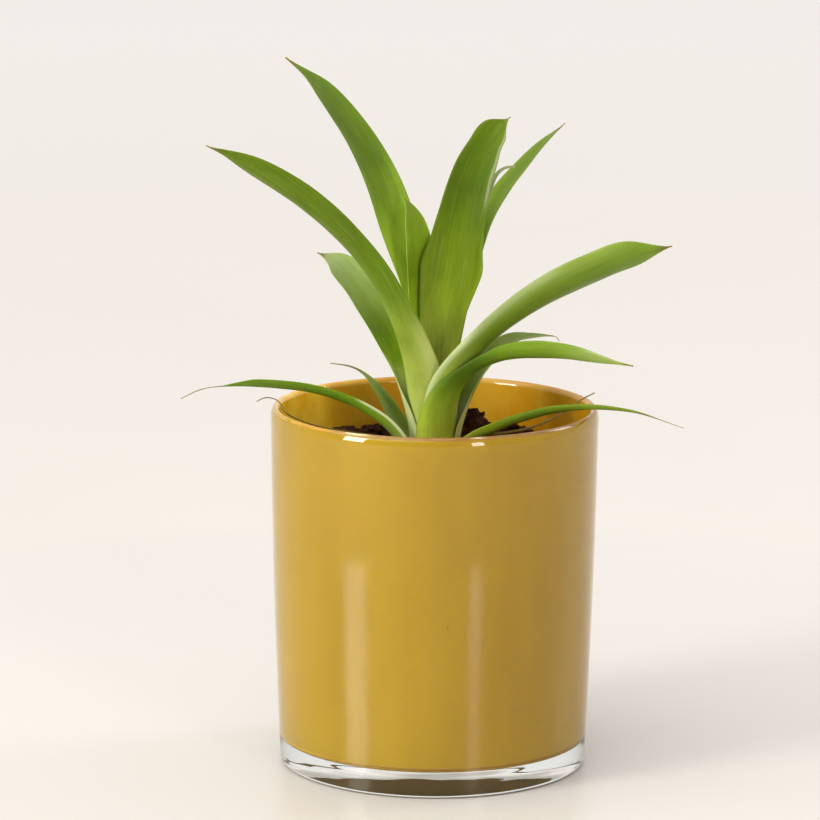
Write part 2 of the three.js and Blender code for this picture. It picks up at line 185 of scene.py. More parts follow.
# Light: a pale room that is darker behind the viewer, soft light from above, a tall window on the left, a
# narrower one on the right and a high one further back, which lights the inside of the pot's left wall.
room = bpy.data.worlds.new("room")
bpy.context.scene.world = room
paint = Finish("room", room)
from_viewer = paint.axis(paint.node("TexCoord"), 1)
wall = paint.mix(from_viewer.step(-0.75, 0.55), (0.55, 0.54, 0.53), (1.0, 0.985, 0.97))
backdrop = paint.node("Background", None, {"Color": wall, "Strength": 0.85})
paint.node("OutputWorld", None, {"Surface": backdrop})
bpy.context.scene.view_settings.view_transform = "Standard"

sky = bpy.data.lights.new("light from above", "SUN")
sky.energy = 1.55
sky.angle = 1.2
sky.color = (1.0, 0.99, 0.975)
holder = bpy.data.objects.new("light from above", sky)
bpy.context.collection.objects.link(holder)
holder.rotation_euler = Vector((0.5, 0.5, -1)).to_track_quat("-Z", "Y").to_euler()


def window(name, azimuth, distance, height, width, tall, power, colour):
    """A light that faces the pot's rim from an azimuth, counted from the viewer's side towards +X."""
    light = bpy.data.lights.new(name, "AREA")
    light.shape = "RECTANGLE"
    light.size = width
    light.size_y = tall
    light.energy = power
    light.color = colour
    holder = bpy.data.objects.new(name, light)
    bpy.context.collection.objects.link(holder)
    angle = math.radians(azimuth)
    holder.location = (distance * math.sin(angle), -distance * math.cos(angle), height)
    to_rim = Vector((0, 0, 0.15)) - holder.location
    holder.rotation_euler = to_rim.to_track_quat("-Z", "Y").to_euler()
    holder.visible_camera = False


window(
    "left window", azimuth=-57, distance=1.7, height=0.62, width=0.5, tall=0.75, power=24,
    colour=(0.93, 1.0, 0.92),
)
window(
    "right window", azimuth=30, distance=2.2, height=0.6, width=0.34, tall=0.75, power=10,
    colour=(1.0, 0.95, 0.88),
)
window(
    "far right window", azimuth=112, distance=1.6, height=1.1, width=0.5, tall=0.5, power=6.5,
    colour=(0.97, 0.98, 1.0),
)


# Pot, clear casing: the outer layer of a blown glass cylinder, with the thick clear base that it stands
# on. It is fused to the mustard layer inside it, but for a ring of trapped air over the base, which looks
# silvery.
POT_HEIGHT = 149.3
RIM_RADIUS = 67.5
FOOT_RADIUS = 63.4
SIDE_SWELL = 0.7
CASING_WALL = 1.8
COLOUR_WALL = 2
RIM_OUTER_ROUND = 4.6
RIM_INNER_ROUND = 2.2
LIP_DROP = 1.5
FOOT_ROUND = 1.6
BASE_HEIGHT = 10.5
CORNER_LEVEL = 14
CORNER_ROUND = 2.4
FUSED = 0.15
AIR_FILM = 0.3
AIR_RING = (42, 44, 56, 57.5)
POT_SIDES = 256


def wall_radius(z):
    """The pot's outer radius at a height: it widens upwards and swells a little in the middle."""
    part = z / POT_HEIGHT
    return FOOT_RADIUS + (RIM_RADIUS - FOOT_RADIUS) * part + SIDE_SWELL * math.sin(math.pi * part)


def quarter_round(centre_radius, centre_z, radius, start, end, steps):
    """Points of a round corner in the pot's profile, between two angles in degrees."""
    points = []
    for step in range(steps + 1):
        angle = math.radians(start + (end - start) * step / steps)
        points.append((centre_radius + radius * math.cos(angle), centre_z + radius * math.sin(angle)))
    return points


def wall_line(start, end, depth, steps):
    """Points along the wall between two heights, at a depth from its outer face."""
    heights = [start + (end - start) * step / steps for step in range(steps + 1)]
    return [(wall_radius(z) - depth, z) for z in heights]


def rim_line(start, end, steps):
    """Points over the rim between two depths from its outer face, closer together where it turns down."""
    half = (CASING_WALL + COLOUR_WALL) / 2
    first = math.acos(1 - start / half)
    last = math.acos(1 - end / half)
    points = []
    for step in range(steps + 1):
        angle = first + (last - first) * step / steps
        depth = half * (1 - math.cos(angle))
        drop = RIM_OUTER_ROUND if depth < half else RIM_INNER_ROUND
        points.append((RIM_RADIUS - depth, POT_HEIGHT - drop * (1 - math.sin(angle))))
    return points


def build(name, points, faces, slot_name, *nodes):
    """A smooth mesh, given in millimetres, that rides on the pot and stands for CAD nodes."""
    mesh = bpy.data.meshes.new(name)
    mesh.from_pydata([Vector(point) * MM for point in points], [], faces)
    mesh.validate()
    mesh.shade_smooth()
    piece = bpy.data.objects.new(name, mesh)
    bpy.context.collection.objects.link(piece)
    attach(piece, "root")
    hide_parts(*nodes)
    return piece


def lathe(profile, sides):
    """Points and faces of a profile that starts and ends on the axis and is turned round it."""
    points = [(0, 0, profile[0][1]), (0, 0, profile[-1][1])]
    faces = []
    rings = profile[1:-1]
    for radius, z in rings:
        for side in range(sides):
            angle = 2 * math.pi * side / sides
            points.append((radius * math.cos(angle), radius * math.sin(angle), z))
    for side in range(sides):
        other = (side + 1) % sides
        last = 2 + (len(rings) - 1) * sides
        faces.append((0, 2 + other, 2 + side))
        faces.append((1, last + side, last + other))
        for ring in range(len(rings) - 1):
            low = 2 + ring * sides
            faces.append((low + side, low + other, low + sides + other, low + sides + side))
    return points, faces


# Out along the foot, up the outer face, over the rim, down the bonded face and in along the base's top.
casing_profile = [(0, 0), (20, 0), (45, 0), (58, 0)]
casing_profile += quarter_round(FOOT_RADIUS - FOOT_ROUND, FOOT_ROUND, FOOT_ROUND, -90, 0, 8)
casing_profile += wall_line(4, POT_HEIGHT - RIM_OUTER_ROUND, 0, 40)[:-1]
casing_profile += rim_line(0, CASING_WALL, 12)
casing_profile += wall_line(POT_HEIGHT - LIP_DROP, CORNER_LEVEL + 1, CASING_WALL + FUSED, 30)
corner_radius = wall_radius(CORNER_LEVEL) - CASING_WALL - CORNER_ROUND
bonded = BASE_HEIGHT + FUSED
lifted = BASE_HEIGHT - AIR_FILM
casing_profile += quarter_round(corner_radius - FUSED, bonded + CORNER_ROUND, CORNER_ROUND, 0, -90, 10)
casing_profile += [(AIR_RING[3], bonded), (AIR_RING[2], lifted), (50, lifted)]
casing_profile += [(AIR_RING[1], lifted), (AIR_RING[0], bonded), (0, bonded)]
casing = build("pot_casing", *lathe(casing_profile, POT_SIDES), "clear_glass", "pot_clear_glass")

paint = Finish("clear blown glass")
spot = paint.position()
ripple = paint.noise(paint.stretch(spot, (1, 1, 0.4)), 22, 1)
over_base = paint.axis(spot, 2).step((BASE_HEIGHT - 1.5) * MM, (BASE_HEIGHT + 1.5) * MM)
swirl = paint.noise(spot, 45, 1) * (1 - over_base)
casing.data.materials.append(
    paint.surface(
        Base_Color=(0.97, 0.985, 0.97, 1),
        Roughness=0.012,
        IOR=1.5,
        Transmission_Weight=1.0,
        Normal=paint.bump(0.25 * ripple + swirl, 0.4, 0.0004),
    )
)


# Pot, mustard layer: an opaque cup of yellow glass inside the casing. Its outer face is bonded to the
# clear glass and so has no gloss of its own. Its inner face and lip are bare and glossy, with amber
# smears, and are painted lighter on the pot's left and darker from its middle to its right: painted
# light and shade for the light that reaches the left inner wall.
CUP_FLOOR = 3.3
CUP_ROUND = 4
CUP_CORNER_LEVEL = 18
SEAM = 0.02
both_walls = CASING_WALL + COLOUR_WALL
# Out along the base's top, up the bonded face, over the lip, down the bare face and in along the floor.
cup_profile = [(0, BASE_HEIGHT), (30, BASE_HEIGHT), (50, BASE_HEIGHT)]
cup_profile += quarter_round(corner_radius, BASE_HEIGHT + CORNER_ROUND, CORNER_ROUND, -90, 0, 8)
cup_profile += wall_line(CORNER_LEVEL + 1, POT_HEIGHT - LIP_DROP, CASING_WALL, 30)
cup_profile += rim_line(CASING_WALL + SEAM, both_walls, 12)
cup_profile += wall_line(POT_HEIGHT - RIM_INNER_ROUND - 1, CUP_CORNER_LEVEL + 8, both_walls, 30)
inner_corner = wall_radius(CUP_CORNER_LEVEL) - both_walls - CUP_ROUND
cup_profile += quarter_round(inner_corner, BASE_HEIGHT + CUP_FLOOR + CUP_ROUND, CUP_ROUND, 0, -90, 6)
cup_profile += [(0, BASE_HEIGHT + CUP_FLOOR)]
cup = build("pot_mustard_cup", *lathe(cup_profile, POT_SIDES), "mustard_glass", "pot_colour_layer")


def mustard(name, light_tone, dark_tone, size, contrast, painted_shade, **gloss):
    """Yellow glass with drifts and streaks of two tones and a few dark specks.

    size: how fine its drifts are, contrast: how sharp and slanted
    painted_shade: how much painted shade darkens the colour from the left of the pot to its middle and
    right
    """
    paint = Finish(name)
    spot = paint.position()
    drift = paint.noise(paint.stretch(spot, (1, 1, 0.45 + 0.6 * contrast)), size, 3)
    sockets = {"Vector": spot, "Angle": 0.6 * contrast}
    slanted = paint.node("VectorRotate", {"rotation_type": "Y_AXIS"}, sockets)
    streak = paint.noise(paint.stretch(slanted, (1, 1, 0.12)), 70, 4, 0.6)
    tone = (0.65 * drift + 0.35 * streak).step(0.3 + 0.12 * contrast, 0.7 - 0.12 * contrast)
    speck = paint.node("TexVoronoi", None, {"Vector": spot, "Scale": 62})
    grain = paint.noise(spot, 25, 0)
    dots = (1 - speck.step(0.02, 0.045)) * grain.step(0.56, 0.6)
    # Painted shade: the colour darkens from the pot's left to its middle and right, where less light
    # falls.
    painted_shade_rightwards = paint.axis(spot, 0).step(-0.058, -0.02)
    colour = paint.mix(tone, light_tone, dark_tone)
    colour = paint.mix(painted_shade * painted_shade_rightwards, colour, (0.27, 0.065, 0))
    colour = paint.mix(0.55 * dots, colour, (0.06, 0.03, 0.008))
    return paint.surface(Base_Color=colour, **gloss)


cup.data.materials.append(
    mustard(
        "mustard glass under the casing", (0.66, 0.42, 0.012), (0.57, 0.345, 0.006),
        size=16, contrast=0, painted_shade=0, Roughness=0.7, Specular_IOR_Level=0.0,
    )
)
cup.data.materials.append(
    mustard(
        "bare mustard glass", (0.97, 0.62, 0.05), (0.86, 0.44, 0.012),
        size=55, contrast=0.7, painted_shade=0.6, Roughness=0.1, Specular_IOR_Level=0.6,
    )
)
for face in cup.data.polygons:
    middle = face.center / MM
    away = math.hypot(middle.x, middle.y)
    inside = away < wall_radius(middle.z) - CASING_WALL - SEAM and middle.z > BASE_HEIGHT + 1
    lip = middle.z > POT_HEIGHT - LIP_DROP
    face.material_index = 1 if inside or lip else 0


# Growing medium: moist dark bark and peat that fills the cup, mounded at the plant, loose and lumpy on
# top, with one tall piece of bark behind the plant on the right. The stem stands in a hole in its middle.
PLANT = Vector((-1, 0, 0))
WALL_LEVEL = 128
MOUND_LEVEL = 130
MOUND_RADIUS = 34
HOLE_RADIUS = 13.4
HOLE_FLOOR = 102
SOIL_GAP = 0.3
SOIL_FLOOR = 14.1
SOIL_SIDES = 220
SOIL_RINGS = 84
LUMPS = 120
BARK_PIECES = 560
BARK_REACH = 61


def drawn(seed):
    """Seeded random numbers between 0 and 1."""
    while True:
        seed = (seed * 1664525 + 1013904223) % 4294967296
        yield seed / 4294967296


draw = drawn(73)
lumps = []
for count in range(LUMPS):
    away = 19 + 42 * math.sqrt(next(draw))
    angle = 2 * math.pi * next(draw)
    radius = 2.8 + 3.2 * next(draw)
    rise = 0.8 + 2.2 * next(draw)
    lumps.append((PLANT.x + away * math.cos(angle), away * math.sin(angle), radius, rise))
# The rise under the tall piece of bark, with its foot, and three larger lumps along the back of the pot.
lumps += [(16, 17, 6.5, 14), (23, 20, 5, 7), (-28, 32, 6, 5), (-36, 36, 5, 4), (34, 38, 5, 4)]


def soil_height(x, y):
    """The mound, a little higher behind the plant, and on it the highest lump at that place."""
    away = math.hypot(x - PLANT.x, y)
    slope = math.exp(-((away / MOUND_RADIUS) ** 2))
    height = WALL_LEVEL + (MOUND_LEVEL - WALL_LEVEL) * slope + 2 * slope * max(y, 0) / (away + 1)
    rise = 0
    for lump_x, lump_y, radius, lump_rise in lumps:
        part = math.hypot(x - lump_x, y - lump_y) / radius
        if part < 1:
            rise = max(rise, lump_rise * (1 - part**2.5))
    return height + rise


def crumble(point, coarse, fine):
    """How far a point of the medium is pushed, for loose clods and small crumbs."""
    return coarse * noise.noise(point * 0.33) + fine * noise.noise(point * 1.1 + Vector((7, 3, 1)))


soil_edge = wall_radius(WALL_LEVEL) - both_walls - SOIL_GAP
rings = [[(PLANT.x, 0, HOLE_FLOOR)], []]
for side in range(SOIL_SIDES):
    angle = 2 * math.pi * side / SOIL_SIDES
    rings[1].append((PLANT.x + HOLE_RADIUS * math.cos(angle), HOLE_RADIUS * math.sin(angle), HOLE_FLOOR))
for ring in range(SOIL_RINGS + 1):
    part = ring / SOIL_RINGS
    radius = HOLE_RADIUS + (soil_edge - HOLE_RADIUS) * part
    rings.append([])
    for side in range(SOIL_SIDES):
        angle = 2 * math.pi * side / SOIL_SIDES
        x = PLANT.x * (1 - part) + radius * math.cos(angle)
        y = radius * math.sin(angle)
        z = soil_height(x, y)
        z += crumble(Vector((x, y, z)), 1.3, 0.7) * math.sin(math.pi * min(part * 6, 0.5))
        rings[-1].append((x, y, z))
for radius, z in ((soil_edge - 0.4, 70), (soil_edge - 2, 26), (soil_edge - 6, SOIL_FLOOR)):
    circle = [2 * math.pi * side / SOIL_SIDES for side in range(SOIL_SIDES)]
    rings.append([(radius * math.cos(angle), radius * math.sin(angle), z) for angle in circle])
rings.append([(0, 0, SOIL_FLOOR)])


def skin(rings):
    """Points and faces of a closed body through rings of points, with a single point at each end."""
    points = [point for ring in rings for point in ring]
    starts = [0]
    for ring in rings:
        starts.append(starts[-1] + len(ring))
    sides = len(rings[1])
    faces = []
    for side in range(sides):
        other = (side + 1) % sides
        faces.append((0, 1 + side, 1 + other))
        for row in range(1, len(rings) - 2):
            low, high = starts[row], starts[row + 1]
            faces.append((low + other, low + side, high + side, high + other))
        low = starts[-3]
        faces.append((low + other, low + side, starts[-2]))
    return points, faces


soil_points, soil_faces = skin(rings)


def chunk(points, faces, centre, size, flat, seed):
    """Adds one rough lump of bark: a ball of rings, squashed, tipped and broken up."""
    rows, sides = (13, 20) if size > 2 else (7, 10)
    tilt = Matrix.Rotation(seed * 2.4, 3, "Z") @ Matrix.Rotation(0.5 * math.sin(seed * 5.1), 3, "X")
    lump = []
    for row in range(rows + 1):
        polar = math.pi * row / rows
        count = 1 if row in (0, rows) else sides
        lump.append([])
        for side in range(count):
            angle = 2 * math.pi * side / sides
            out = math.sin(polar)
            ball = Vector((out * math.cos(angle), out * math.sin(angle), -math.cos(polar)))
            rough = 1 + 0.5 * noise.noise(ball * 1.3 + Vector((seed, 0, 0)))
            rough += 0.28 * noise.noise(ball * 3.4 + Vector((0, seed, 0)))
            rough += 0.12 * abs(noise.noise(ball * 8 + Vector((0, 0, seed))))
            shape = Vector((ball.x, ball.y * 0.75, ball.z * flat)) * rough * size
            lump[-1].append(tuple(tilt @ shape + centre))
    more_points, more_faces = skin(lump)
    base = len(points)
    points += more_points
    faces += [tuple(base + corner for corner in reversed(face)) for face in more_faces]


scatter = random.Random(11)
for count in range(BARK_PIECES):
    away = 16 + 44.5 * math.sqrt(scatter.random())
    angle = scatter.uniform(0, 2 * math.pi)
    size = scatter.choice((0.7, 0.9, 1.2, 1.6, 2.3, 3.2))
    away = min(away, BARK_REACH - size)
    x = PLANT.x + away * math.cos(angle)
    y = away * math.sin(angle)
    centre = Vector((x, y, soil_height(x, y) + 0.15 * size))
    chunk(soil_points, soil_faces, centre, size, scatter.uniform(0.4, 0.8), scatter.uniform(0, 40))

# The tall piece of bark, made of several rough lumps.
for x, y, z, size, flat, seed in (
    (15.5, 17, 139.5, 4.6, 1.05, 3.2),
    (18.5, 17.5, 138, 4.2, 0.9, 8.4),
    (13.4, 16.5, 136, 3.9, 0.9, 12.7),
    (16.2, 17.8, 143, 2.6, 0.8, 21.3),
    (19.7, 18.4, 142.2, 1.3, 0.8, 30.1),
    (12.9, 14.8, 139.8, 1.6, 0.9, 17.9),
    (21.6, 18.6, 136.8, 2.8, 0.8, 25.5),
):
    chunk(soil_points, soil_faces, Vector((x, y, z)), size, flat, seed)
medium = build("bark_and_peat", soil_points, soil_faces, "growing_medium", "soil")

paint = Finish("moist bark and peat")
spot = paint.position()
clod = paint.noise(spot, 170, 4, 0.6)
crumb = paint.noise(spot, 900, 4, 0.7)
fibre = paint.noise(paint.stretch(spot, (1, 0.3, 1)), 1500, 2)
bit = paint.axis(paint.node("TexVoronoi", None, {"Vector": spot, "Scale": 260}, 1), 0)
tone = paint.mix(clod.step(0.35, 0.7), (0.012, 0.003, 0.001), (0.055, 0.014, 0.006))
tone = paint.mix(0.5 * bit.step(0.55, 1), tone, (0.12, 0.045, 0.02))
tone = paint.mix(0.35 * crumb.step(0.52, 0.75), tone, (0.15, 0.055, 0.03))
tone = paint.mix(0.4 * fibre.step(0.66, 0.74), tone, (0.28, 0.17, 0.11))
medium.data.materials.append(
    paint.surface(
        Base_Color=tone,
        Roughness=0.62 + 0.3 * crumb,
        Specular_IOR_Level=0.06,
        Normal=paint.bump(0.6 * clod + 0.4 * crumb, 0.8, 0.0012),
    )
)


# Stem: the short woody stem, rooted in the hole and ringed with the scars of old leaves. The sheaths of
# the leaves wrap and hide it, so it keeps its plain solid and gets only a finish.
paint = Finish("woody stem")
spot = paint.position()
scar = paint.node("TexWave", {"bands_direction": "Z"}, {"Vector": spot, "Scale": 90, "Distortion": 1.5})
bark = paint.noise(spot, 400)
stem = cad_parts["stem"]
stem.data.materials.clear()
stem.data.materials.append(
    paint.surface(
        Base_Color=paint.mix(0.5 * scar + 0.5 * bark, (0.14, 0.12, 0.05), (0.33, 0.32, 0.15)),
        Roughness=0.8,
        Normal=paint.bump(scar, 0.6, 0.0006),
    )
)


# Leaves: each is one thick waxy strap that wraps the stem at its foot, as a sheath, and opens into an
# arching channelled blade with fine, mostly darker margins and a dry point. They sit in layers round the
# stem, the youngest inside. Their greens are lighter towards their feet, partly the sheaths' own pale
# colour and partly painted light where the leaves shade one another, and some leaves carry painted
# highlights and painted shade along a margin.
INNER_SHEATH = 4.4
LAYER_STEP = 1.05
STATIONS = 110
THINNEST_HALF = 0.24
TIP_THREAD = 0.008
TIGHTEST_CURL = 1.1
WAVE = 0.25
SHEATH_TUCK = 0.7


def along(values, part):
    """A smooth run through values that are spaced evenly from the foot of a leaf (0) to its tip (1)."""
    last = len(values) - 1
    place = min(max(part, 0), 1) * last
    index = min(int(place), last - 1)
    share = place - index
    before, here, after = values[max(index - 1, 0)], values[index], values[index + 1]
    beyond = values[min(index + 2, last)]
    bend = 2 * before - 5 * here + 4 * after - beyond + share * (3 * (here - after) + beyond - before)
    return here + 0.5 * share * (after - before + share * bend)


def soft(low, high, value):
    """0 below low, 1 above high, and a soft ramp between them."""
    part = min(max((value - low) / (high - low), 0), 1)
    return part * part * (3 - 2 * part)


def midrib(knots, stations):
    """Evenly spaced points, with their directions, on a smooth curve through the knots."""
    ends = [knots[0] * 2 - knots[1], *knots, knots[-1] * 2 - knots[-2]]
    fine = []
    for before, here, after, beyond in zip(ends, ends[1:], ends[2:], ends[3:]):
        pairs = ((before, here), (here, after), (after, beyond))
        past, span, ahead = [max((end - start).length, 1e-6) ** 0.5 for start, end in pairs]
        leave = (here - before) / past - (after - before) / (past + span) + (after - here) / span
        arrive = (after - here) / span - (beyond - here) / (span + ahead) + (beyond - after) / ahead
        for step in range(60):
            part = step / 60
            fine.append(
                here * (2 * part**3 - 3 * part**2 + 1)
                + leave * span * (part**3 - 2 * part**2 + part)
                + after * (3 * part**2 - 2 * part**3)
                + arrive * span * (part**3 - part**2)
            )
    fine.append(knots[-1])
    travelled = [0]
    for start, end in zip(fine, fine[1:]):
        travelled.append(travelled[-1] + (end - start).length)
    run = []
    index = 0
    for station in range(stations + 1):
        goal = travelled[-1] * station / stations
        while index < len(fine) - 2 and travelled[index + 1] < goal:
            index += 1
        share = (goal - travelled[index]) / max(travelled[index + 1] - travelled[index], 1e-9)
        run.append(fine[index].lerp(fine[index + 1], min(share, 1)))
    directions = []
    for station in range(stations + 1):
        ahead = run[min(station + 1, stations)] - run[max(station - 1, 0)]
        directions.append(ahead.normalized())
    return run, directions, travelled[-1]


def leaf(
    name, faces, layer, foot, path, half, fold, sheath, finish, turn=(0, 0), skew=(0, 0),
    slot_name="leaf", strips=24, thick=0.62,
):
    """Grows one leaf.

    faces: where the back of its sheath looks, in degrees from +X towards +Y
    layer: its place outwards from the stem, foot: the height that it starts at
    path: points of the midrib from the plant's axis and the ground
    half: half of its width, fold: half of the angle that its channel spans, in degrees
    turn: twist in degrees, skew: how far the blade is wider on one side of the midrib
    sheath: the parts of its length where the sheath starts to open and where it is all blade
    strips: how many strips of faces its width has, thick: its thickness in the middle of the blade
    """
    seed = sum(ord(letter) for letter in name) % 97
    out = Vector((math.cos(math.radians(faces)), math.sin(math.radians(faces)), 0))
    start = PLANT + out * (INNER_SHEATH + layer * LAYER_STEP)
    start.z = foot
    points, directions, length = midrib([start] + [Vector(knot) + PLANT for knot in path], STATIONS)
    back = out.copy()
    vertices = []
    notes = []
    for station, (point, tangent) in enumerate(zip(points, directions)):
        part = station / STATIONS
        back = (back - tangent * back.dot(tangent)).normalized()
        side = tangent.cross(back)
        twist = math.radians(along(turn, part))
        turned_back = back * math.cos(twist) + side * math.sin(twist)
        turned_side = tangent.cross(turned_back)
        half_width = max(along(half, part / (1 - TIP_THREAD)), THINNEST_HALF)
        lean = along(skew, part)
        away = math.hypot(point.x - PLANT.x, point.y)
        # The sheath bends round the stem's axis, and the blade bends by its own fold.
        opening = soft(*sheath, part)
        blade_curve = math.radians(along(fold, part)) / half_width
        radius = max(1 / ((1 - opening) / away + opening * blade_curve), TIGHTEST_CURL)
        # The leaf is thickest in its sheath and thins towards its tip and margins.
        body = thick * (1.5 - 0.5 * opening - 0.35 * part) * min(1, half_width / 2.2 + 0.15)
        loop = []
        for index in range(strips + 1):
            loop.append((2 * index / strips - 1, 0))
        for index in range(strips, -1, -1):
            loop.append((2 * index / strips - 1, 1))
        for across, inside in loop:
            edge = abs(across) ** 6
            angle = (across * half_width - lean) / radius
            depth = inside * body * (1 - 0.62 * edge)
            ruffle = WAVE * opening * edge * noise.noise(Vector((part * 9, across * 0.7, seed)))
            ruffle += 0.35 * WAVE * opening * noise.noise(Vector((part * 14, across * 1.6, seed + 9)))
            tuck = SHEATH_TUCK * (1 - opening) * soft(0.5, 1, abs(across))
            radial = radius - tuck - depth + ruffle
            vertices.append(
                point + turned_side * (radial * math.sin(angle))
                + turned_back * (radial * math.cos(angle) - radius)
            )
            # For the finish: mm across, mm along and the seed, then shares along and across and the side.
            notes.append((across * half_width, part * length, seed, part, across, inside))
    ring = 2 * (strips + 1)
    quads = []
    for station in range(STATIONS):
        for index in range(ring):
            other = (index + 1) % ring
            low, high = station * ring, (station + 1) * ring
            quads.append((low + index, low + other, high + other, high + index))
    quads.append(tuple(range(ring - 1, -1, -1)))
    quads.append(tuple(range(STATIONS * ring, (STATIONS + 1) * ring)))
    piece = build(name.replace("leaf", "blade"), vertices, quads, slot_name, name)
    place = piece.data.attributes.new("leaf_place", "FLOAT_VECTOR", "POINT")
    place.data.foreach_set("vector", [value for note in notes for value in note[:3]])
    share = piece.data.attributes.new("leaf_share", "FLOAT_VECTOR", "POINT")
    share.data.foreach_set("vector", [value for note in notes for value in note[3:]])
    piece.data.materials.append(finish)


def leaf_finish(
    name, greens_and_painted_light, haze=0.0, haze_from=0.3, margin=0.35, margin_tone=(0.10, 0.10, 0.04), edges_and_painted_light=(),
    blush=0.0, tip_start=0.955, tip_tone=(0.15, 0.115, 0.04), roughness=0.4, gloss=0.08,
):
    """Leaf tissue with faint lengthwise veins, mottling and pale flecks.

    greens_and_painted_light: its greens from foot to tip, each with its place, with painted light at
    shaded feet and painted shade on one flank
    haze: how strong its grey bloom is, which starts at haze_from
    margin: how strong the fine line along its margins is, in margin_tone
    edges_and_painted_light: the side (1 or -1), start, end, width, softness and colour of each broader
    edge; some are the leaf's own pale margins, others painted highlights and painted shade
    blush: how strong the reddish lines near its foot are
    tip_start: where the dry tip starts, in tip_tone
    """
    paint = Finish(name)
    place = paint.node("Attribute", {"attribute_name": "leaf_place"}, output=1)
    share = paint.node("Attribute", {"attribute_name": "leaf_share"}, output=1)
    part = paint.axis(share, 0)
    across = paint.axis(share, 1)
    inside = paint.axis(share, 2)
    vein = paint.noise(paint.stretch(place, (2.1, 0.03, 1)), 1, 3, 0.6)
    hair = paint.noise(paint.stretch(place, (6.5, 0.05, 1)), 1, 2, 0.6)
    mottle = paint.noise(paint.stretch(place, (0.16, 0.055, 1)), 1, 3, 0.55)
    fleck = paint.noise(paint.stretch(place, (2.4, 0.9, 1)), 1, 1, 0.4)
    # The greens from foot to tip, with painted light at shaded feet and painted shade on one flank.
    green = paint.node("ValToRGB", {"stops": greens_and_painted_light}, {0: part + 0.05 * (mottle - 0.5)})
    green = paint.mix(0.04 - 0.04 * inside, green, (0.45, 0.47, 0.20))
    shade = 0.16 * mottle.step(0.4, 0.68) + 0.12 * (1 - vein.step(0.35, 0.5))
    green = paint.mix(shade, green, (0.02, 0.05, 0))
    light = 0.10 * vein.step(0.5, 0.72) + 0.06 * hair.step(0.5, 0.7)
    green = paint.mix(light, green, (0.5, 0.58, 0.15))
    green = paint.mix(0.35 * fleck.step(0.74, 0.8), green, (0.33, 0.40, 0.12))
    cloud = paint.noise(paint.stretch(place, (0.3, 0.11, 1)), 1, 3)
    bloom = haze * part.step(haze_from, haze_from + 0.45) * (0.55 + 0.9 * (cloud - 0.5))
    green = paint.mix(bloom, green, (0.36, 0.39, 0.24))
    reddish = blush * vein.step(0.5, 0.6) * (1 - part.step(0.25, 0.45))
    green = paint.mix(reddish, green, (0.13, 0.05, 0.015))
    # Broader edges: some are the leaf's own pale margins, others painted highlights and painted shade.
    for side, start, end, width, blur, colour in edges_and_painted_light:
        ramp = 0.05 + 0.1 * blur
        fade = part.step(start, start + ramp) * (1 - part.step(end - ramp, end))
        edge = (side * across + 0.1 * (cloud - 0.5)).step(1 - width - blur, 1 - width)
        green = paint.mix(fade * edge * (0.75 + 0.4 * (vein - 0.5)), green, colour)
    green = paint.mix(margin * across.size().step(0.92, 0.99), green, margin_tone)
    tip = (part + 0.02 * (vein - 0.5)).step(tip_start, tip_start + 0.03)
    green = paint.mix(tip, green, tip_tone)
    return paint.surface(
        Base_Color=green,
        Roughness=roughness + 0.16 * mottle + 0.25 * tip,
        Specular_IOR_Level=gloss,
        Subsurface_Weight=0.5,
        Subsurface_Radius=(0.8, 1.0, 0.15),
        Subsurface_Scale=0.0015,
        Normal=paint.bump(vein * 0.7 + hair * 0.3, 0.28, 0.00022),
    )


# The broad upright leaf in the middle, seen on its inner face, with reddish lines near its foot. Its
# lower part is painted lighter, as painted light where the leaves round it shade it.
leaf(
    "leaf_centre", faces=80, layer=0, foot=124,
    path=[
        (1.5, 4.8, 150), (3, 5.5, 168), (5, 8.5, 190), (8.7, 13, 210), (13, 18.5, 229), (18.2, 23.5, 246),
        (24.2, 27, 259.6), (31, 29, 265.8),
    ],
    skew=[0, 0, 0, 0, 0, 0.8, 0.5, -0.2, -0.7, 0.3, 1],
    half=[
        6.5, 6.7, 7, 7.5, 8, 8.5, 9, 9.6, 10.4, 11.6, 13.2, 14.2, 12.5, 11.4, 10.5, 9.9, 9.3, 8.7,
        7.4, 6.3, 0.5,
    ],
    fold=[80, 60, 45, 38, 35, 30], sheath=(0.15, 0.4),
    finish=leaf_finish(
        "centre leaf",
        [(0.2, (0.48, 0.50, 0.09)), (0.45, (0.25, 0.34, 0.015)), (0.6, (0.145, 0.215, 0.002)),
         (0.76, (0.065, 0.11, 0.0005)), (0.9, (0.085, 0.135, 0.002)), (1, (0.11, 0.15, 0.006))],
        blush=0.6, tip_start=0.975,
        edges_and_painted_light=[(-1, 0.7, 0.99, 0.12, 0.1, (0.26, 0.29, 0.15))],
    ),
)

# The short leaf behind it on the left, shaded and deep green, with thin pale margins. Its foot is
# painted much lighter, as painted light where the leaves round it shade it.
leaf(
    "leaf_inner_left", faces=140, layer=1, foot=124,
    path=[
        (-4.2, 4.2, 150), (-5, 6.5, 172), (-6.5, 9, 190), (-7.3, 10.5, 205),
        (-8, 11.5, 217), (-9.8, 12.3, 228), (-12.8, 12.8, 235),
    ],
    half=[5.5, 6, 6.6, 7.5, 8.5, 9, 9.5, 9.5, 9, 6.5, 0.4],
    fold=[70, 60, 50, 40, 35, 25], sheath=(0.15, 0.4),
    finish=leaf_finish(
        "inner left leaf",
        [(0.5, (0.46, 0.66, 0.02)), (0.7, (0.17, 0.27, 0.002)), (0.85, (0.23, 0.34, 0.015)),
         (1, (0.18, 0.25, 0.03))],
        margin=0.4, margin_tone=(0.34, 0.38, 0.14), tip_start=0.985,
    ),
)

